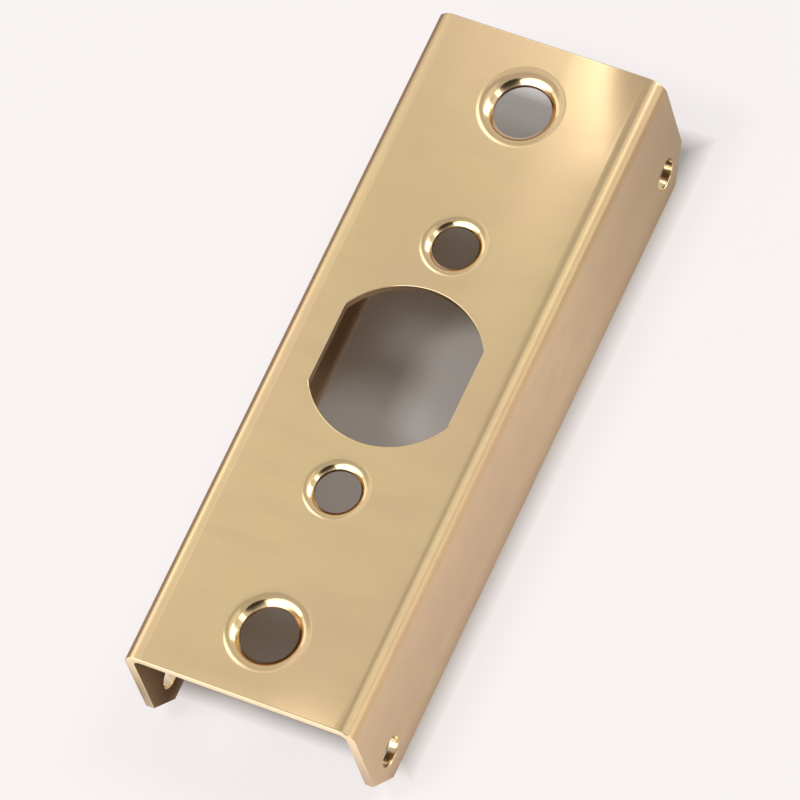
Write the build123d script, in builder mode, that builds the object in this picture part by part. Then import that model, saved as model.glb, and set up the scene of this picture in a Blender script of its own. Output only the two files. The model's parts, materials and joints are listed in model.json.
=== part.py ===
from build123d import *

import os
from math import cos, radians, tan

# Door edge guard: one brass sheet, pierced, dimpled and folded into a channel that wraps the
# edge of a door round its latch. Millimetres, at real size. +Y runs along the door's edge, +X
# across its thickness and +Z away from the door. The guard lies as it would be put down, on the
# lower edges of its two flanges, and the origin is on that surface, straight under the middle
# of the latch hole.

# Sheet and folds
sheet = 1.5
fold_inside_radius = 1.5
edge_break = 0.2

# Door that the guard wraps
door_thickness = 34.9
door_clearance = 0.2

# Channel
length = 114.3
flange_depth = 25.4
corner_clip_depth = 6.4
corner_clip_length = 4.6

# Latch hole: a round hole with two flats along the door's edge
latch_hole_diameter = 26.6
latch_hole_width = 23.0

# Pressed countersinks: the lip of each is pushed below the web by its drop
countersink_angle = 82.0
lip_land = 0.85
fixing_hole_diameter = 9.0
fixing_drop = 0.8
fixing_inside_radius = 1.0
fixing_end_margin = 11.1
faceplate_hole_diameter = 7.2
faceplate_drop = 0.4
faceplate_inside_radius = 0.5
faceplate_hole_spacing = 42.9

# Holes in the flanges, near the clipped corners
flange_hole_diameter = 5.2
flange_hole_end_margin = 6.2
flange_hole_edge_margin = 6.4

# Worked-out sizes
inside_width = door_thickness + door_clearance
outside_width = inside_width + 2 * sheet
fold_outside_radius = fold_inside_radius + sheet
cut_reach = 2 * (sheet + fixing_drop)
face = Plane.XY.offset(flange_depth)
half_angle = radians(countersink_angle / 2)
bend_angle = 90 - countersink_angle / 2
fixing_y = length / 2 - fixing_end_margin
faceplate_y = faceplate_hole_spacing / 2
flange_hole_y = length / 2 - flange_hole_end_margin


def countersink_section(hole_diameter, drop, inside_radius):
    """Half section of one pressed countersink: radius along X, height above the web's face along Y."""
    hole_radius = hole_diameter / 2
    face_radius = inside_radius + sheet
    cone_depth = sheet + drop - lip_land
    face_rim = hole_radius + cone_depth * tan(half_angle)
    under_rim = face_rim + sheet / cos(half_angle) - sheet * tan(half_angle)
    press_radius = face_rim + face_radius * tan(radians(bend_angle) / 2)
    with BuildSketch() as section:
        with BuildLine():
            rolled_rim = JernArc((press_radius, 0), (-1, 0), face_radius, bend_angle)
            under_bend = JernArc((press_radius, -sheet), (-1, 0), inside_radius, bend_angle)
            Polyline(
                rolled_rim @ 1,
                (hole_radius, -cone_depth),
                (hole_radius, -sheet - drop),
                (under_rim - drop * tan(half_angle), -sheet - drop),
                under_bend @ 1,
            )
            Line(rolled_rim @ 0, under_bend @ 0)
        make_face()
    return section.sketch


fixing_section = countersink_section(fixing_hole_diameter, fixing_drop, fixing_inside_radius)
faceplate_section = countersink_section(faceplate_hole_diameter, faceplate_drop, faceplate_inside_radius)

with BuildPart() as edge_guard:
    # The channel's section: the outside line of the folded sheet, thickened inwards
    with BuildSketch(Plane.XZ):
        with BuildLine():
            FilletPolyline(
                (-outside_width / 2, 0),
                (-outside_width / 2, flange_depth),
                (outside_width / 2, flange_depth),
                (outside_width / 2, 0),
                radius=fold_outside_radius,
            )
            offset(amount=sheet, side=Side.RIGHT)
        make_face()
    extrude(amount=length / 2, both=True)

    # Clipped lower corners of both flanges
    with BuildSketch(Plane.YZ):
        with BuildLine():
            Polyline(
                (length / 2, corner_clip_depth),
                (length / 2 - corner_clip_length, 0),
                (length / 2, 0),
                close=True,
            )
        make_face()
        mirror(about=Plane.YZ)
    extrude(amount=outside_width, both=True, mode=Mode.SUBTRACT)

    # Rounded edges all round the sheet's outline, apart from the short ones across its thickness
    sheared_edges = (faces().filter_by(Axis.Y) + faces().sort_by(Axis.Z)[:6]).edges()
    across_sheet = sheared_edges.filter_by(Axis.X).group_by(SortBy.LENGTH)[0]
    fillet(sheared_edges - across_sheet, edge_break)

    # Latch hole, with the burr taken off its rim on the face
    with BuildSketch(face):
        Circle(latch_hole_diameter / 2)
        Rectangle(latch_hole_width, latch_hole_diameter, mode=Mode.INTERSECT)
    extrude(amount=-cut_reach, mode=Mode.SUBTRACT)
    chamfer(edges(Select.LAST).group_by(Axis.Z)[-1], edge_break)

    # Plain screw holes through both flanges, with the burr taken off outside
    with BuildSketch(Plane.YZ):
        with Locations((-flange_hole_y, flange_hole_edge_margin), (flange_hole_y, flange_hole_edge_margin)):
            Circle(flange_hole_diameter / 2)
    extrude(amount=outside_width, both=True, mode=Mode.SUBTRACT)
    flange_rims = edges(Select.LAST).filter_by(GeomType.CIRCLE).group_by(Axis.X)
    chamfer(flange_rims[0] + flange_rims[-1], edge_break)

    # Countersinks: the large pair fixes the guard to the door, the small pair fits the latch's faceplate.
    # Each takes a disc out of the web and puts the same metal back, rolled over into a cone.
    for section, distance in ((fixing_section, fixing_y), (faceplate_section, faceplate_y)):
        with BuildSketch(face):
            with Locations((0, -distance), (0, distance)):
                Circle(section.bounding_box().max.X)
        extrude(amount=-cut_reach, mode=Mode.SUBTRACT)
        for centre_y in (-distance, distance):
            with BuildSketch(Plane((0, centre_y, flange_depth), x_dir=(1, 0, 0), z_dir=(0, -1, 0))):
                add(section)
            revolve(axis=Axis((0, centre_y, 0), (0, 0, 1)))

edge_guard.part.label = "edge_guard"

os.makedirs("parts", exist_ok=True)
export_step(edge_guard.part, "parts/edge_guard.step")
print(f"outside width {outside_width:.2f}, volume {edge_guard.part.volume:.0f}")
print(f"fixing holes {2 * fixing_y:.2f} apart, faceplate holes {2 * faceplate_y:.2f} apart")
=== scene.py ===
# %% [markdown]
# # A door edge guard in satin brass
# The real guard starts as a flat brass blank. It is sheared to its outline, pierced, dimpled by a
# countersinking punch and then folded twice into a channel that wraps a door's edge. This lesson
# makes it in the same order, so every cut edge, dimple and fold is there as shape: first the flat
# blank, then the holes that repeat, then the folds, and last the metal's finish and the light.

# %% The fixed frame
import json
from math import acos, ceil, cos, pi, radians, sin, tan

import bmesh
import bpy
from mathutils import Matrix, Quaternion, Vector

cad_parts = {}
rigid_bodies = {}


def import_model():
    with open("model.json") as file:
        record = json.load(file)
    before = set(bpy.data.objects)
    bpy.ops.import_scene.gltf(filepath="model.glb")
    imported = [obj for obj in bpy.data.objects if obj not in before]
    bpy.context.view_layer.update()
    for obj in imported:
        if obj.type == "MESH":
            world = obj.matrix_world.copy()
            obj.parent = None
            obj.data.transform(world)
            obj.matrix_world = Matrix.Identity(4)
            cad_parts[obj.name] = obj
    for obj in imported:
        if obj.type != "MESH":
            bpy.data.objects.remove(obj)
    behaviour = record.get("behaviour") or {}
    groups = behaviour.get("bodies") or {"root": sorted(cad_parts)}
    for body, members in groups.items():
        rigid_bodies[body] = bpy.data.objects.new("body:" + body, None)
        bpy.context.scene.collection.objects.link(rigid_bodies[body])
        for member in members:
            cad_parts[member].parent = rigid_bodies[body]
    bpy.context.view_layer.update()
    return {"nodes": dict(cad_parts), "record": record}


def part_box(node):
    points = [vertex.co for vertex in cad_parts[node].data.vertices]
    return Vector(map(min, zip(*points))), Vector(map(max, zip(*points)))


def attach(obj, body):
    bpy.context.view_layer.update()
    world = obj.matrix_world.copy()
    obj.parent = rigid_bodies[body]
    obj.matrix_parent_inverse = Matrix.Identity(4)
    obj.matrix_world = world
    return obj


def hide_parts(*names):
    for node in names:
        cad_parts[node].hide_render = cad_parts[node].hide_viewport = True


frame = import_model()
print("frame nodes", sorted(frame["nodes"]))

# %% [markdown]
# ## Sizes
# Whatever the frame states is read from it: the box gives the outside sizes, and the mounts give
# the holes and the sheet's thickness. The few sizes that it doesn't state are named here, as a
# drawing of the guard would give them.

# %% Sizes from the frame
MM = 0.001
low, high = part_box("edge_guard")
mounts = {mount["name"]: mount for mount in frame["record"]["mounts"]}

length = high.y - low.y
outside_width = high.x - low.x
flange_depth = high.z
sheet = flange_depth - mounts["web_seat"]["pos_m"][2]
fixing_spacing = mounts["fixing_holes"]["dims"]["spacing_y_mm"] * MM
fixing_radius = mounts["fixing_holes"]["dims"]["hole_r_mm"] * MM
faceplate_spacing = mounts["faceplate_holes"]["dims"]["spacing_y_mm"] * MM
faceplate_radius = mounts["faceplate_holes"]["dims"]["hole_r_mm"] * MM
flange_hole_spacing = mounts["flange_holes_right"]["dims"]["spacing_x_mm"] * MM
flange_hole_radius = mounts["flange_holes_right"]["dims"]["hole_r_mm"] * MM
flange_hole_height = mounts["flange_holes_right"]["pos_m"][2]
print(f"sheet {sheet / MM:.2f} mm, outside width {outside_width / MM:.2f} mm")

# %% Sizes of the folds, clips and latch hole
fold_inside_radius = 1.5 * MM
fold_outside_radius = fold_inside_radius + sheet
corner_clip_depth = 6.4 * MM
corner_clip_length = 4.6 * MM
latch_hole_radius = 13.3 * MM
latch_hole_half_width = 11.5 * MM

edge_break = 0.2 * MM
burr_side_break = 0.08 * MM
support = 0.1 * MM
turn_step = radians(6)
ring_segments = 96

# %% [markdown]
# ## The blank, laid out flat
# Bent metal stretches outside the fold and shrinks inside it. Between them runs a neutral line
# that keeps its length, and its arc is the share of the blank that each fold takes up. Across the
# blank a point is measured by its distance from the middle line, so the web, a fold and a flange
# follow each other, and a hole in a flange has its place in the flat.

# %% Widths across the blank
neutral_share = 0.44
fold_width = (fold_inside_radius + neutral_share * sheet) * pi / 2
web_half = outside_width / 2 - fold_outside_radius
flange_start = web_half + fold_width
blank_half = flange_start + flange_depth - fold_outside_radius
flange_hole_across = blank_half - flange_hole_height
print(f"blank {2 * blank_half / MM:.1f} by {length / MM:.1f} mm")
print(f"each fold takes {fold_width / MM:.2f} mm of it")

# %% [markdown]
# ## Edge profiles
# A sheared or pierced edge is never a sharp corner: the shear rolls the first side over a little,
# and the burr on the other side is tumbled off. Each edge is drawn once as a profile, a line from
# the outer face round the edge to the inner face, and `soften` turns its corners into arcs. The
# profile begins a little way into the flat, so that smooth shading leaves the flat alone.

# %% Profiles
def soften(corners, radii):
    """Points along a line of corners, with each inner corner turned into an arc of its own radius."""
    corners = [Vector((across, 0, height)) for across, height in corners]
    points = [corners[0]]
    for before, corner, after, radius in zip(corners, corners[1:], corners[2:], radii):
        back = (before - corner).normalized()
        ahead = (after - corner).normalized()
        turn = pi - back.angle(ahead)
        reach = radius * tan(turn / 2)
        centre = corner + (back + ahead).normalized() * (radius / cos(turn / 2))
        first = (corner + back * reach - centre).normalized()
        last = (corner + ahead * reach - centre).normalized()
        steps = ceil(turn / turn_step)
        points += [centre + radius * first.slerp(last, step / steps) for step in range(steps + 1)]
    return points + [corners[-1]]


flat_inset = edge_break + support
sheared_edge = soften(
    [(flat_inset, 0), (0, 0), (0, -sheet), (flat_inset, -sheet)],
    [edge_break, burr_side_break],
)
print("sheared edge has", len(sheared_edge), "points")

# %% [markdown]
# ## Pressed countersinks
# The punch pushes the metal round a screw hole down into a cone. The rim rolls over from the web's
# face, the sheet bends at one thickness behind it, and the lip is coined flat where it meets the
# door. One function gives that section for both sizes of screw.

# %% Countersink section
countersink_half_angle = radians(41)
lip_land = 0.85 * MM
lip_round = 0.12 * MM


def countersink(hole_radius, drop, inside_radius):
    """The section of one pressed countersink, and the radius at which its rim starts to roll over."""
    slope = tan(countersink_half_angle)
    face_radius = inside_radius + sheet
    cone_depth = sheet + drop - lip_land
    face_rim = hole_radius + cone_depth * slope
    under_rim = face_rim + sheet / cos(countersink_half_angle) - sheet * slope
    flat_radius = face_rim + face_radius * tan((pi / 2 - countersink_half_angle) / 2) + support
    corners = [
        (flat_radius, 0),
        (face_rim, 0),
        (hole_radius, -cone_depth),
        (hole_radius, -sheet - drop),
        (under_rim - drop * slope, -sheet - drop),
        (under_rim, -sheet),
        (flat_radius, -sheet),
    ]
    return soften(corners, [face_radius, lip_round, lip_round, lip_round, inside_radius]), flat_radius


fixing_profile, fixing_flat = countersink(fixing_radius, drop=0.8 * MM, inside_radius=1.0 * MM)
faceplate_profile, faceplate_flat = countersink(faceplate_radius, drop=0.4 * MM, inside_radius=0.5 * MM)
plain_profile = [point + Vector((flange_hole_radius, 0, 0)) for point in sheared_edge]
plain_flat = flange_hole_radius + flat_inset
print(f"rims are {2 * fixing_flat / MM:.1f} and {2 * faceplate_flat / MM:.1f} mm across")

# %% [markdown]
# ## Outlines
# Both outlines are functions of how far in or out from the true line they run, so one profile can
# be carried round them without getting thinner at the corners. Each corner has a neighbour close
# on both sides, which keeps its shading from smearing along the edge.

# %% Outlines of the blank and of the latch hole
fold_steps = ceil(radians(90) / turn_step)
fold_rows = [web_half - support]
fold_rows += [web_half + fold_width * step / fold_steps for step in range(fold_steps + 1)]
fold_rows += [flange_start + support]


def blank_outline(inset):
    """The blank's outline, moved inwards: the right half from end to end, then the left half."""
    edge = blank_half - inset
    end = length / 2 - inset
    clip_normal = Vector((corner_clip_length, corner_clip_depth)).normalized()
    clip_offset = clip_normal.dot((blank_half, length / 2 - corner_clip_length)) - inset
    clip_low = Vector((edge, (clip_offset - clip_normal.x * edge) / clip_normal.y))
    clip_high = Vector(((clip_offset - clip_normal.y * end) / clip_normal.x, end))
    along_clip = (clip_high - clip_low).normalized() * support
    corner = [
        clip_low - Vector((0, support)),
        clip_low,
        clip_low + along_clip,
        clip_high - along_clip,
        clip_high,
        clip_high - Vector((support, 0)),
    ]
    upper = corner + [Vector((row, end)) for row in reversed(fold_rows)]
    lower = [Vector((point.x, -point.y)) for point in reversed(upper)]
    right = lower + upper
    return right + [-point for point in right]


def latch_outline(outset):
    """The latch hole's outline, moved outwards into the metal: two arcs joined by two flats."""
    radius = latch_hole_radius + outset
    flat = latch_hole_half_width + outset
    corner_angle = acos(flat / radius)
    near = support / radius
    even = [2 * step / ring_segments for step in range(1, ring_segments // 2)]
    arc = [corner_angle + (pi - 2 * corner_angle) * share for share in (0, near, *even, 1 - near)]
    upper = [Vector((cos(angle), sin(angle))) * radius for angle in arc]
    flat_top = radius * sin(corner_angle)
    side = [Vector((-flat, y)) for y in (flat_top, flat_top - support, support - flat_top)]
    half = upper + side
    return half + [-point for point in half]


def ring(centre_x, centre_y, radius):
    """A hole's circle in the flat, its points at the same angles as the rims that repeat."""
    centre = Vector((centre_x, centre_y))
    angles = [2 * pi * step / ring_segments for step in range(ring_segments)]
    return [centre + Vector((radius * cos(angle), radius * sin(angle))) for angle in angles]


print("outline points", len(blank_outline(0)), "latch hole points", len(latch_outline(0)))

# %% [markdown]
# ## The flat blank as a mesh
# A band carries a profile round an outline. The flats between are filled with triangles, which
# costs nothing in looks, because a flat shades the same however it is cut up. Only the two strips
# that will be folded need rows, close together, for the bend to be round.

# %% Bands, flats and fold strips
def add_band(mesh, outline, profile):
    """Faces that carry a profile round an outline, with the cut wall marked for its own finish."""
    rows = []
    for point in profile:
        row = [mesh.verts.new((x, y, point.z)) for x, y in outline(point.x)]
        for vertex in row:
            vertex[cut_layer(mesh)] = float(point.x < edge_break / 2)
        rows.append(row)
    for row, following in zip(rows, rows[1:]):
        for here, there in zip(range(len(row)), range(-1, len(row) - 1)):
            mesh.faces.new((row[there], row[here], following[here], following[there]))


def cut_layer(mesh):
    """The vertex layer that says where the metal was cut through."""
    return mesh.verts.layers.float.get("cut") or mesh.verts.layers.float.new("cut")


def fill_flat(mesh, outlines, height):
    """One flat of the sheet: the first outline is its edge, and the others are holes in it."""
    edges = []
    for outline in outlines:
        corners = [mesh.verts.new((x, y, height)) for x, y in outline]
        edges += [mesh.edges.new((corners[n - 1], corners[n])) for n in range(len(corners))]
    bmesh.ops.triangle_fill(mesh, edges=edges, use_beauty=True, normal=(0, 0, 1))


flat_blank = bmesh.new()
cut_layer(flat_blank)
add_band(flat_blank, blank_outline, sheared_edge)
add_band(flat_blank, latch_outline, sheared_edge)

flat_end = length / 2 - flat_inset
flange_outline = [point for point in blank_outline(flat_inset) if point.x > fold_rows[-1] - support / 2]


def strip_between(left, right):
    """The corners of a strip of the blank that runs from end to end."""
    return [(left, -flat_end), (right, -flat_end), (right, flat_end), (left, flat_end)]


for height in (0, -sheet):
    web_holes = [latch_outline(flat_inset)]
    for end in (-1, 1):
        web_holes.append(ring(0, end * fixing_spacing / 2, fixing_flat))
        web_holes.append(ring(0, end * faceplate_spacing / 2, faceplate_flat))
    fill_flat(flat_blank, [strip_between(-fold_rows[0], fold_rows[0])] + web_holes, height)
    for side in (-1, 1):
        outlines = [[side * point for point in flange_outline]]
        for end in (-1, 1):
            centre = (side * flange_hole_across, end * flange_hole_spacing / 2)
            outlines.append(ring(*centre, plain_flat))
        fill_flat(flat_blank, outlines, height)
        for row, following in zip(fold_rows, fold_rows[1:]):
            corners = [(side * x, y, height) for x, y in strip_between(row, following)]
            flat_blank.faces.new([flat_blank.verts.new(corner) for corner in corners])

blank_mesh = bpy.data.meshes.new("guard_sheet")
flat_blank.to_mesh(blank_mesh)
flat_blank.free()
guard = bpy.data.objects.new("guard_sheet", blank_mesh)
bpy.context.scene.collection.objects.link(guard)
print("flat blank has", len(blank_mesh.polygons), "faces before its rims")

# %% [markdown]
# ## A small language for nodes
# Node trees are long when each node takes four lines. Here one class wraps an output socket and
# lets Python's operators add Math nodes, and one method makes any other node: its type, then its
# settings, then the values or wires of its inputs. Both kinds of tree below are written with it.

# %% Wires and nodes
def operator(operation, reflected=False):
    """A method that adds the Math node of one Python operator."""
    def apply(self, other):
        pair = (other, self) if reflected else (self, other)
        return self.nodes.add("ShaderNodeMath", {"operation": operation}, dict(enumerate(pair)))
    return apply


class Wire:
    """One output socket of a node tree."""

    def __init__(self, nodes, socket):
        self.nodes = nodes
        self.socket = socket

    __add__ = operator("ADD")
    __radd__ = operator("ADD", reflected=True)
    __sub__ = operator("SUBTRACT")
    __rsub__ = operator("SUBTRACT", reflected=True)
    __mul__ = operator("MULTIPLY")
    __rmul__ = operator("MULTIPLY", reflected=True)
    __truediv__ = operator("DIVIDE")
    __rtruediv__ = operator("DIVIDE", reflected=True)
    __pow__ = operator("POWER")
    __rpow__ = operator("POWER", reflected=True)

    def maths(self, operation, *others):
        """Any other Math node, such as SINE or MINIMUM."""
        values = dict(enumerate((self, *others)))
        return self.nodes.add("ShaderNodeMath", {"operation": operation}, values)

    def remap(self, from_low, from_high, to_low=0.0, to_high=1.0):
        """The value moved from one range to another, and held inside it."""
        values = {1: from_low, 2: from_high, 3: to_low, 4: to_high}
        return self.nodes.add("ShaderNodeMapRange", {"clamp": True}, {0: self, **values})


class Nodes:
    """Adds nodes to one tree."""

    def __init__(self, tree):
        self.tree = tree

    def add(self, kind, settings=None, values=None, output=0):
        """A node of any type: settings first, then the values or wires of its inputs."""
        node = self.tree.nodes.new(kind)
        for name, value in (settings or {}).items():
            setattr(node, name, value)
        for name, value in (values or {}).items():
            if isinstance(value, Wire):
                self.tree.links.new(value.socket, node.inputs[name])
            else:
                node.inputs[name].default_value = value
        return Wire(self, node.outputs[output]) if node.outputs else None

    def also(self, wire, output):
        """Another output of the node that a wire comes from."""
        return Wire(self, wire.socket.node.outputs[output])

    def mix(self, share, first, second):
        """Two colours mixed. A Mix node keeps its colours in sockets 6 and 7 and their mix in output 2."""
        return self.add("ShaderNodeMix", {"data_type": "RGBA"}, {0: share, 6: first, 7: second}, output=2)

    def point(self, x, y, z=0.0):
        """A point or a direction from its three numbers."""
        return self.add("ShaderNodeCombineXYZ", values={"X": x, "Y": y, "Z": z})


def new_group(name, inputs):
    """A geometry tree with named inputs, and the wires that bring them in."""
    tree = bpy.data.node_groups.new(name, "GeometryNodeTree")
    tree.interface.new_socket("Geometry", in_out="INPUT", socket_type="NodeSocketGeometry")
    for label, kind in inputs.items():
        tree.interface.new_socket(label, in_out="INPUT", socket_type=kind)
    tree.interface.new_socket("Geometry", in_out="OUTPUT", socket_type="NodeSocketGeometry")
    nodes = Nodes(tree)
    first = nodes.add("NodeGroupInput")
    wires = {label: nodes.also(first, label) for label in ["Geometry", *inputs]}
    return nodes, wires


print("node helpers ready")

# %% [markdown]
# ## Rims that repeat
# Eight round holes come in three kinds, and each kind is a pair, one at either end. That is work
# for Geometry Nodes: a grid with a column for every point of the profile is rolled into a ring by
# moving its vertices, the ring is set on the two ends of a line, and the pair joins the blank. The
# points fall on the circles that the flats left open, so merging by distance closes the skin.

# %% The tree that makes a pair of rims
rim_inputs = {
    "Profile": "NodeSocketObject",
    "Segments": "NodeSocketInt",
    "Across": "NodeSocketFloat",
    "Spacing": "NodeSocketFloat",
}
nodes, given = new_group("pair_of_rims", rim_inputs)
profile = nodes.add("GeometryNodeObjectInfo", values={"Object": given["Profile"]}, output="Geometry")
points = nodes.add("GeometryNodeAttributeDomainSize", {"component": "MESH"}, {0: profile})
strip = nodes.add(
    "GeometryNodeMeshGrid",
    values={"Size X": 1.0, "Size Y": 1.0, "Vertices X": points, "Vertices Y": given["Segments"] + 1},
)
place = nodes.add("ShaderNodeSeparateXYZ", values={0: nodes.add("GeometryNodeInputPosition")})
column = ((place + 0.5) * (points - 1)).maths("ROUND")
angle = (nodes.also(place, "Y") + 0.5) * (2 * pi)


def at_the_column(data_type, value):
    """What the profile holds at the point that this column stands for."""
    settings = {"data_type": data_type, "domain": "POINT"}
    values = {"Geometry": profile, "Value": value, "Index": column}
    return nodes.add("GeometryNodeSampleIndex", settings, values)


section_point = at_the_column("FLOAT_VECTOR", nodes.add("GeometryNodeInputPosition"))
cut = nodes.add("GeometryNodeInputNamedAttribute", {"data_type": "FLOAT"}, {"Name": "cut"})
marked = nodes.add(
    "GeometryNodeStoreNamedAttribute",
    {"data_type": "FLOAT", "domain": "POINT"},
    {"Geometry": strip, "Name": "cut", "Value": at_the_column("FLOAT", cut)},
)
section = nodes.add("ShaderNodeSeparateXYZ", values={0: section_point})
rolled = nodes.point(section * angle.maths("COSINE"), section * angle.maths("SINE"), nodes.also(section, "Z"))
rim = nodes.add("GeometryNodeSetPosition", values={"Geometry": marked, "Position": rolled})
half_spacing = given["Spacing"] / 2
ends = nodes.add(
    "GeometryNodeMeshLine",
    {"mode": "END_POINTS"},
    {
        "Count": 2,
        "Start Location": nodes.point(given["Across"], 0 - half_spacing),
        "Offset": nodes.point(given["Across"], half_spacing),
    },
)
pair = nodes.add("GeometryNodeInstanceOnPoints", values={"Points": ends, "Instance": rim})
joined = nodes.add("GeometryNodeJoinGeometry", values={0: given["Geometry"]})
real_pair = nodes.add("GeometryNodeRealizeInstances", values={0: pair})
nodes.tree.links.new(real_pair.socket, joined.socket.node.inputs[0])
nodes.add("NodeGroupOutput", values={0: joined})
pair_of_rims = nodes.tree
print("pair_of_rims has", len(pair_of_rims.nodes), "nodes")

# %% [markdown]
# ## Folding by a rule
# A press brake bends the flanges down round a fixed radius. As a rule, a point that lies in the
# fold strip turns by its share of a right angle, at the radius of its own layer of the sheet, and
# a point beyond it goes straight down. Set Position does this to the whole blank at once, so the
# holes and the clipped corners land where the folded part has them.

# %% The tree that pierces, folds and finishes the sheet
holes = {
    "Fixing": (fixing_profile, 0, fixing_spacing),
    "Faceplate": (faceplate_profile, 0, faceplate_spacing),
    "Right flange": (plain_profile, flange_hole_across, flange_hole_spacing),
    "Left flange": (plain_profile, -flange_hole_across, flange_hole_spacing),
}
sheet_inputs = {"Segments": "NodeSocketInt"}
for hole in holes:
    sheet_inputs[f"{hole} profile"] = "NodeSocketObject"
    sheet_inputs[f"{hole} across"] = "NodeSocketFloat"
    sheet_inputs[f"{hole} spacing"] = "NodeSocketFloat"
for label in ("Web half", "Fold width", "Fold radius", "Face height", "Weld distance"):
    sheet_inputs[label] = "NodeSocketFloat"
sheet_inputs["Material"] = "NodeSocketMaterial"

nodes, given = new_group("folded_sheet", sheet_inputs)
pierced = given["Geometry"]
for hole in holes:
    pierced = nodes.add(
        "GeometryNodeGroup",
        {"node_tree": pair_of_rims},
        {
            "Geometry": pierced,
            "Profile": given[f"{hole} profile"],
            "Segments": given["Segments"],
            "Across": given[f"{hole} across"],
            "Spacing": given[f"{hole} spacing"],
        },
    )
weld = {"Geometry": pierced, "Distance": given["Weld distance"]}
welded = nodes.add("GeometryNodeMergeByDistance", values=weld)
flat = nodes.add("ShaderNodeSeparateXYZ", values={0: nodes.add("GeometryNodeInputPosition")})
distance = flat.maths("ABSOLUTE")
past_web = distance - given["Web half"]
share = (past_web / given["Fold width"]).maths("MAXIMUM", 0.0).maths("MINIMUM", 1.0)
turn = share * (pi / 2)
straight = (past_web - given["Fold width"]).maths("MAXIMUM", 0.0)
layer = given["Fold radius"] + nodes.also(flat, "Z")
across = distance.maths("MINIMUM", given["Web half"]) + layer * turn.maths("SINE")
height = given["Face height"] - given["Fold radius"] + layer * turn.maths("COSINE") - straight
folded_place = nodes.point(across * flat.maths("SIGN"), nodes.also(flat, "Y"), height)
folded = nodes.add("GeometryNodeSetPosition", values={"Geometry": welded, "Position": folded_place})
smooth = nodes.add("GeometryNodeSetShadeSmooth", values={"Geometry": folded, "Shade Smooth": True})
real = nodes.add("GeometryNodeRealizeInstances", values={0: smooth})
painted = nodes.add("GeometryNodeSetMaterial", values={"Geometry": real, "Material": given["Material"]})
nodes.add("NodeGroupOutput", values={0: painted})
folded_sheet = nodes.tree
print("folded_sheet has", len(folded_sheet.nodes), "nodes")

# %% [markdown]
# ## The brass
# Satin brass is plain metal with a fine grain from the polishing belt, which runs along the strip.
# Its colour drifts slowly from lacquer and handling, and faint dull streaks lie across the strip.
# The cut edges are paler, and the dimples are smoother than the faces, because the punch burnishes
# them. All of it is worked out from the place on the metal, so it stays put from every side. An
# image texture could do the same, but noise has no seams and needs no file.

# %% Brass
brass = bpy.data.materials.new("satin_brass")
brass.use_nodes = True
brass.node_tree.nodes.clear()
nodes = Nodes(brass.node_tree)
here = nodes.add("ShaderNodeTexCoord", output="Object")


def noise(scale, detail=2.0, stretch=(1, 1, 1)):
    """Noise on the metal, from 0 to 1, with its grain drawn out along an axis."""
    drawn = nodes.add("ShaderNodeVectorMath", {"operation": "MULTIPLY"}, {0: here, 1: stretch})
    return nodes.add("ShaderNodeTexNoise", values={"Vector": drawn, "Scale": scale, "Detail": detail})


along_the_strip = (1, 0.03, 1)
drift = noise(45, stretch=(1, 0.6, 1))
streaks = noise(230, detail=3, stretch=(0.3, 1, 1))
grain = noise(2600, detail=3, stretch=along_the_strip)
fine_grain = noise(7000, stretch=along_the_strip)
cut = nodes.add("ShaderNodeAttribute", {"attribute_name": "cut"}, output="Fac")

brass_yellow = (0.83, 0.63, 0.335, 1)
brass_tan = (0.81, 0.585, 0.335, 1)
brass_pale = (0.90, 0.75, 0.50, 1)
brass_dull = (0.745, 0.53, 0.315, 1)
dullest_streak = 0.4
palest_cut = 0.6
colour = nodes.mix(drift.remap(0.35, 0.65), brass_yellow, brass_tan)
colour = nodes.mix(streaks.remap(0.40, 0.70) * dullest_streak, colour, brass_dull)
colour = nodes.mix(cut * palest_cut, colour, brass_pale)
print("colours run from", brass_dull[:3], "to", brass_pale[:3])

# %% Burnished dimples and the roughness
satin = 0.15
burnish = 0.2
burnish_below_face = (0.15 * MM, 0.5 * MM)
dimples_end = (8.5 * MM, 9.0 * MM)

place = nodes.add("ShaderNodeSeparateXYZ", values={0: here})
from_middle = place.maths("ABSOLUTE")
below_face = flange_depth - nodes.also(place, "Z")
burnished = below_face.remap(*burnish_below_face) * (1 - from_middle.remap(*dimples_end))
roughness = (satin + drift * 0.03 + grain * 0.03 + streaks * 0.02) * (1 - burnished * burnish)
print(f"roughness is {satin} and up, and {burnish:.0%} less in the dimples")

# %% [markdown]
# ## Relief of the brass
# Bright metal shows how flat it is. The real web isn't quite: it eases down towards its left fold
# and its near end, and it is drawn down at the far right corner, where the light from overhead
# gathers in one pale patch. The sheet is built flat, as its maker means it to be, so this is kept
# in a bump that bends only the reflections, and it fades out before the folds. A second, far finer
# bump adds the belt's grain everywhere.

# %% Heights over the web
pull_starts = 3.6 * MM
pull_grows = (37 * MM, 57 * MM)
pull_along_the_side = 0.49
pull_curve = 9.6
roll_starts = -10.8 * MM
roll_curve = 1.1
lift_starts = -43 * MM
lift_curve = 3.4
relief_fades = (15.8 * MM, 17 * MM)
wave_height = 0.08 * MM


def past(start):
    """How far a place lies beyond a start, squared: the height of a slope that begins level there."""
    return start.maths("MAXIMUM", 0.0) ** 2.0


along = nodes.also(place, "Y")
pulled_end = pull_along_the_side + (1 - pull_along_the_side) * along.remap(*pull_grows) ** 2.0
pulled_corner = past(place - pull_starts) * pulled_end * pull_curve
left_roll = past(roll_starts - place) * roll_curve
near_lift = past(lift_starts - along) * lift_curve
waves = noise(28, detail=1) * wave_height
web_height = waves + near_lift - pulled_corner - left_roll
on_the_web = 1 - from_middle.remap(*relief_fades)
print(f"relief fades out from {relief_fades[0] / MM:.1f} mm beside the middle line")

# %% Bumps and the surface
grain_depth = 0.02 * MM
grain_strength = 0.12

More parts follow.
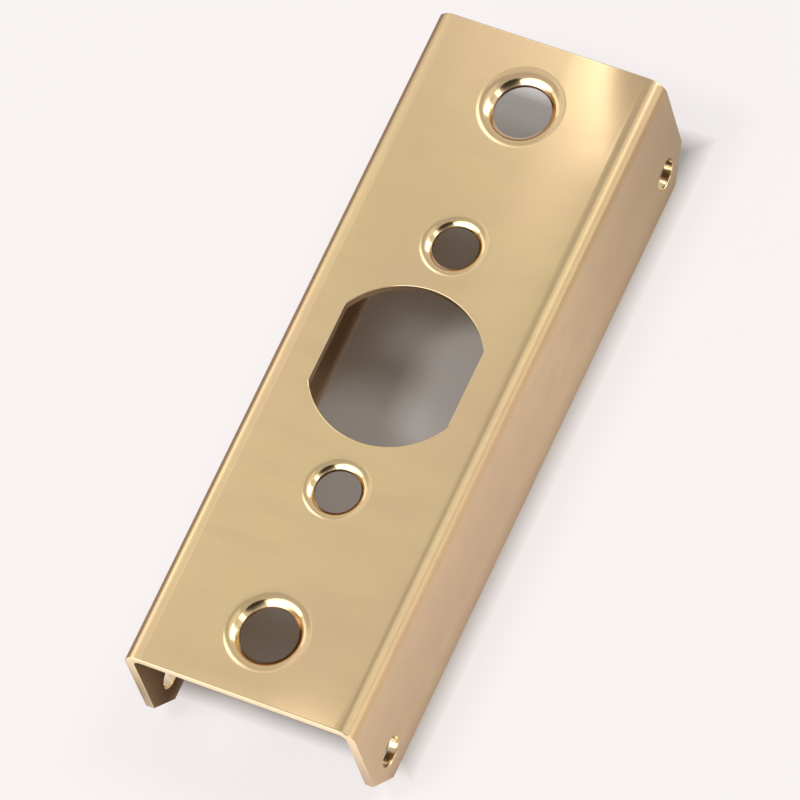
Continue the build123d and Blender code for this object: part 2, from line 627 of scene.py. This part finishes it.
shape = nodes.add("ShaderNodeBump", values={"Strength": on_the_web, "Distance": 1.0, "Height": web_height})
grain_relief = grain * 0.6 + fine_grain * 0.4
bumped = nodes.add(
    "ShaderNodeBump",
    values={"Strength": grain_strength, "Distance": grain_depth, "Height": grain_relief, "Normal": shape},
)
surface = nodes.add(
    "ShaderNodeBsdfPrincipled",
    values={"Base Color": colour, "Metallic": 1.0, "Roughness": roughness, "Normal": bumped},
)
nodes.add("ShaderNodeOutputMaterial", values={"Surface": surface})
print("satin_brass has", len(brass.node_tree.nodes), "nodes")

# %% [markdown]
# ## Making the guard
# The modifier's inputs are set by their identifiers before the object is first evaluated. The
# result is kept as a plain mesh, and the modifier and the profiles go. Two numbers say whether it
# is sound: every edge has two faces, and the volume is that of the solid in the frame.

# %% The guard as a plain mesh
def profile_object(name, profile):
    """A profile as a line of vertices that the tree can read, with its cut wall marked."""
    mesh = bpy.data.meshes.new(name)
    links = [(n, n + 1) for n in range(len(profile) - 1)]
    mesh.from_pydata([tuple(point) for point in profile], links, [])
    wall = min(point.x for point in profile)
    marks = mesh.attributes.new("cut", "FLOAT", "POINT")
    marks.data.foreach_set("value", [float(point.x < wall + edge_break / 2) for point in profile])
    made = bpy.data.objects.new(name, mesh)
    bpy.context.scene.collection.objects.link(made)
    return made


tree_inputs = [item for item in folded_sheet.interface.items_tree if item.in_out == "INPUT"]
identifiers = {item.name: item.identifier for item in tree_inputs}
modifier = guard.modifiers.new("folded_sheet", "NODES")
modifier.node_group = folded_sheet
values = {
    "Segments": ring_segments,
    "Web half": web_half,
    "Fold width": fold_width,
    "Fold radius": fold_outside_radius,
    "Face height": flange_depth,
    "Weld distance": 0.002 * MM,
    "Material": brass,
}
profiles = []
for hole, (profile, offset, spacing) in holes.items():
    profiles.append(profile_object(f"{hole} profile", profile))
    values[f"{hole} profile"] = profiles[-1]
    values[f"{hole} across"] = float(offset)
    values[f"{hole} spacing"] = spacing
for label, value in values.items():
    modifier[identifiers[label]] = value

bpy.context.view_layer.update()
graph = bpy.context.evaluated_depsgraph_get()
finished = bpy.data.meshes.new_from_object(guard.evaluated_get(graph))
guard.modifiers.clear()
guard.data = finished
for line in profiles:
    bpy.data.objects.remove(line)


def volume_and_open_edges(mesh):
    """A mesh's volume in cubic millimetres and how many of its edges don't have two faces."""
    check = bmesh.new()
    check.from_mesh(mesh)
    bmesh.ops.remove_doubles(check, verts=check.verts, dist=0.0001 * MM)
    found = check.calc_volume(signed=True) / MM**3, sum(not edge.is_manifold for edge in check.edges)
    check.free()
    return found


outward = bmesh.new()
outward.from_mesh(finished)
bmesh.ops.recalc_face_normals(outward, faces=outward.faces)
outward.to_mesh(finished)
outward.free()
guard_volume, open_edges = volume_and_open_edges(finished)
frame_volume, _ = volume_and_open_edges(frame["nodes"]["edge_guard"].data)
print(f"guard {guard_volume:.0f} cubic mm, frame {frame_volume:.0f}, open edges {open_edges}")
print("faces", len(finished.polygons))

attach(guard, "root")
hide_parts("edge_guard")

# %% [markdown]
# ## The camera
# A long lens far away gives the flat perspective of a catalogue picture. The place is written as
# an aim on the guard's face, two angles and a distance, and the roll sets the guard on a slant.

# %% Camera
aim = Vector((2.97, -4.96, 25.4)) * MM
azimuth = radians(43.19)
elevation = radians(62.58)
roll = radians(-20.8)
camera_distance = 1.3391
picture_pixels = 800
focal_pixels = 9000
sensor_width = 36

towards_camera = Vector((sin(azimuth) * cos(elevation), -cos(azimuth) * cos(elevation), sin(elevation)))
camera_data = bpy.data.cameras.new("camera")
camera_data.sensor_width = sensor_width
camera_data.lens = sensor_width * focal_pixels / picture_pixels
camera_data.clip_end = 20
camera = bpy.data.objects.new("camera", camera_data)
camera.location = aim + towards_camera * camera_distance
camera.rotation_mode = "QUATERNION"
camera.rotation_quaternion = towards_camera.to_track_quat("Z", "Y") @ Quaternion((0, 0, 1), roll)
bpy.context.scene.collection.objects.link(camera)
bpy.context.scene.camera = camera
print("camera right", [round(x, 3) for x in camera.rotation_quaternion @ Vector((1, 0, 0))])

# %% [markdown]
# ## Floor and light
# Metal shows little but its surroundings, so most of the light is built as what the metal reflects.
# The floor is matt paint with a lift of its own, a glow that keeps it pale while the guard still drops
# a soft shadow on it. The glow stops under the guard, where the holes look into the dark. It reaches a
# little way into the near open end and fades out close beside the guard, so part of the shade there
# is painted shade. What the metal sees of the floor is a painted reflection, set apart from what the
# camera sees: a painted bright band in front, which lights the near cut edge, a painted dark strip
# close by on the left, which draws the line along that fold, and a quiet grey elsewhere for the
# flange, paler far out on the right.

# %% Where the floor lies open
far_margin = 2 * MM
near_margin = -8 * MM
mirrored_near_margin = 9 * MM
mirrored_spread = 1.5 * MM
shade_edge = (-1 * MM, 3 * MM)

floor_paint = bpy.data.materials.new("floor_paint")
floor_paint.use_nodes = True
floor_paint.node_tree.nodes.clear()
nodes = Nodes(floor_paint.node_tree)
seen = nodes.add("ShaderNodeLightPath", output="Is Camera Ray")
mirrored = nodes.also(seen, "Is Glossy Ray")
spot = nodes.add("ShaderNodeSeparateXYZ", values={0: nodes.add("ShaderNodeTexCoord", output="Object")})
along = nodes.also(spot, "Y")
past_side = spot.maths("ABSOLUTE") - outside_width / 2
past_far_end = along - (length / 2 + far_margin)
# The glow begins about 9 mm inside the near open end, which cuts the guard's shade there short with painted
# light.
past_near_end = 0 - along - (length / 2 + near_margin) - mirrored * mirrored_near_margin
outside = past_side.maths("MAXIMUM", past_far_end).maths("MAXIMUM", past_near_end)
# The glow's mask: none under the guard, rising from 1 mm inside its outline to 3 mm outside it, which paints
# part of the shade along the outline.
floor_glow_mask = (outside + mirrored * mirrored_spread).remap(*shade_edge)
print("the floor is shaded up to", round(shade_edge[1] / MM, 1), "mm past the guard")

# %% Paint, and the lift that keeps it pale
paint_in_shade = (0.52, 0.50, 0.485, 1)
# In the open the paint is darker and the glow makes up the rest, so painted light thins the guard's shadow
# there.
paint_in_the_open = (0.20, 0.193, 0.187, 1)
# Painted reflections: the colours below are what only the metal sees of the floor, a darker matt paint and a
# glow of their own.
paint_seen_in_reflections = (0.30, 0.245, 0.225, 1)
lift_for_the_camera = (0.725, 0.69, 0.692, 1)
reflected_grey_near = (0.43, 0.42, 0.44, 1)
reflected_grey_far = (0.24, 0.25, 0.26, 1)
reflected_pale_right = (0.62, 0.57, 0.54, 1)
painted_dark_reflection_left = (0.02, 0.018, 0.015, 1)
painted_bright_reflection_front = (0.95, 0.92, 0.88, 1)
greys_meet = (20 * MM, 60 * MM)
pale_starts = (130 * MM, 200 * MM)
dark_starts = (-180 * MM, -130 * MM)
dark_stops = (-24 * MM, -20 * MM)
bright_starts = (61 * MM, 66 * MM)

paint = nodes.mix(floor_glow_mask, paint_in_shade, paint_in_the_open)
paint = nodes.mix(mirrored, paint, paint_seen_in_reflections)
matt = nodes.add("ShaderNodeBsdfDiffuse", values={"Color": paint})
# The painted reflection for the flange: grey near the guard, darker further back, paler far out on the right.
painted_reflection = nodes.mix(along.remap(*greys_meet), reflected_grey_near, reflected_grey_far)
painted_reflection = nodes.mix(spot.remap(*pale_starts), painted_reflection, reflected_pale_right)
# A painted dark strip in the reflection, from about 130 to 24 mm left of the middle, which draws the line
# along the left fold.
painted_dark_strip = (1 - spot.remap(*dark_stops)) * spot.remap(*dark_starts)
painted_reflection = nodes.mix(painted_dark_strip, painted_reflection, painted_dark_reflection_left)
# A painted bright band in the reflection, from 61 mm out towards the near end, which lights the near cut
# edge.
painted_reflection = nodes.mix((0 - along).remap(*bright_starts), painted_reflection, painted_bright_reflection_front)
lift = nodes.add(
    "ShaderNodeEmission",
    values={
        "Color": nodes.mix(mirrored, lift_for_the_camera, painted_reflection),
        "Strength": (seen + mirrored).maths("MINIMUM", 1.0) * floor_glow_mask,
    },
)
lifted = nodes.add("ShaderNodeAddShader", values={0: matt, 1: lift})
nodes.add("ShaderNodeOutputMaterial", values={"Surface": lifted})
print("floor_paint has", len(floor_paint.node_tree.nodes), "nodes")

# %% Floor
floor_half = 3.0
floor_mesh = bpy.data.meshes.new("floor")
floor_corners = [(x * floor_half, y * floor_half, 0) for x, y in ((-1, -1), (1, -1), (1, 1), (-1, 1))]
floor_mesh.from_pydata(floor_corners, [], [(0, 1, 2, 3)])
floor_mesh.materials.append(floor_paint)
floor = bpy.data.objects.new("floor", floor_mesh)
bpy.context.scene.collection.objects.link(floor)
print("floor is", 2 * floor_half, "m square")

# %% [markdown]
# ## Softboxes and the grey between them
# Two small keys light only the floor: they drop the shadow and the pools of light inside the
# holes. The other lamps show only in the metal. Three wide, faint ones overhead give the web its
# slow change of tone, a small strong one makes the pale patch in the far corner, and the low ones
# all round put the bright crescents into the dimples. The world between them is a plain grey with
# one dark patch at the front right, a long oval that leans. It is the dark arc at the top left of
# each dimple. Photographs of a real studio could stand in for all of this, but lamps and a rule for
# the grey can be moved one at a time until each reflection falls in its place.

# %% Softboxes
overhead = 0.5


def softbox(name, direction, distance, width, height, brightness):
    """A lamp aimed at the guard, square with the strip if it is overhead, and upright if it is low.

    Its brightness adds to the grey behind it, where white paper is 1.
    """
    data = bpy.data.lights.new(name, "AREA")
    data.shape = "RECTANGLE"
    data.size = width
    data.size_y = height
    data.energy = brightness * pi * width * height
    lamp = bpy.data.objects.new(name, data)
    towards = Vector(direction).normalized()
    lamp.location = Vector((0, 0, flange_depth)) + towards * distance
    lamp.rotation_mode = "QUATERNION"
    upright = Vector((0, 1, 0)) if towards.z > overhead else Vector((0, 0, 1))
    across = upright.cross(towards).normalized()
    axes = Matrix((across, towards.cross(across), towards)).transposed()
    lamp.rotation_quaternion = axes.to_quaternion()
    bpy.context.scene.collection.objects.link(lamp)
    print(name, f"{data.energy:.2f} W")
    return lamp


softbox("softbox_back", (-0.1935, 0.066, 0.979), 0.8, 0.56, 0.50, 0.23)
softbox("softbox_corner", (-0.176, 0.561, 0.809), 0.82, 0.20, 0.227, 2.2)
softbox("softbox_left", (-0.686, 0.335, 0.646), 0.8, 0.61, 0.466, 0.30)
softbox("softbox_right", (0.647, 0.382, 0.66), 0.8, 0.505, 0.68, 0.30)
softbox("softbox_low_right", (0.63, 0.72, 0.31), 0.8, 0.40, 0.58, 2.5)
softbox("softbox_side", (0.967, 0.03, 0.25), 0.8, 0.20, 0.36, 1.8)
softbox("softbox_gap", (0.93, 0.35, 0.13), 0.8, 0.46, 0.24, 0.12)
softbox("softbox_low_left", (-0.96, 0.03, 0.22), 0.8, 0.55, 0.30, 0.7)
softbox("softbox_front", (-0.39, -0.87, 0.366), 0.8, 1.4, 0.43, 2.3)
keys = [
    softbox("key_left", (-0.26, -0.36, 1.0), 0.9, 0.18, 0.18, 31),
    softbox("key_right", (0.36, 0.32, 1.0), 0.9, 0.25, 0.25, 10),
]
for key in keys:
    key.visible_glossy = False
for lamp in bpy.data.objects:
    if lamp.type == "LIGHT":
        lamp.visible_camera = False
        lamp.visible_diffuse = lamp in keys

# %% The grey between them
grey_low = (0.76, 0.75, 0.74, 1)
grey_overhead = (0.52, 0.52, 0.52, 1)
patch_dark = (0.03, 0.025, 0.02, 1)
backdrop_pale = (0.93, 0.90, 0.885, 1)
patch_middle = (0.64, -0.60, 0.48)
patch_along = (-0.759, -0.589, 0.277)
patch_across = (0.116, -0.542, -0.832)
patch_half_length = 0.5
patch_half_width = 0.215
patch_slant = 0.1
patch_edge = (0.75, 1.1)
front_half = (0.0, 0.3)

world = bpy.data.worlds.new("studio")
world.use_nodes = True
world.node_tree.nodes.clear()
nodes = Nodes(world.node_tree)
facing = nodes.add("ShaderNodeTexCoord", output="Generated")
rise = nodes.also(nodes.add("ShaderNodeSeparateXYZ", values={0: facing}), "Z")
grey = nodes.mix(rise.remap(0.1, 0.95), grey_low, grey_overhead)


def turned_to(goal):
    """How closely the world's direction points along another: 1 straight at it, 0 at right angles."""
    values = {0: facing, 1: goal}
    return nodes.add("ShaderNodeVectorMath", {"operation": "DOT_PRODUCT"}, values, output="Value")


off_along = turned_to(patch_along) / patch_half_length
off_across = (turned_to(patch_across) - off_along * patch_slant) / patch_half_width
behind = 1 - turned_to(patch_middle).remap(*front_half)
off_middle = off_along * off_along + off_across * off_across + behind * 2
grey = nodes.mix(1 - off_middle.remap(*patch_edge), grey, patch_dark)
backdrop = nodes.add("ShaderNodeLightPath", output="Is Camera Ray")
wall = nodes.mix(backdrop, grey, backdrop_pale)
sky = nodes.add("ShaderNodeBackground", values={"Color": wall, "Strength": 1.0})
nodes.add("ShaderNodeOutputWorld", values={"Surface": sky})
bpy.context.scene.world = world
bpy.context.scene.view_settings.view_transform = "Standard"
print("world", world.name)
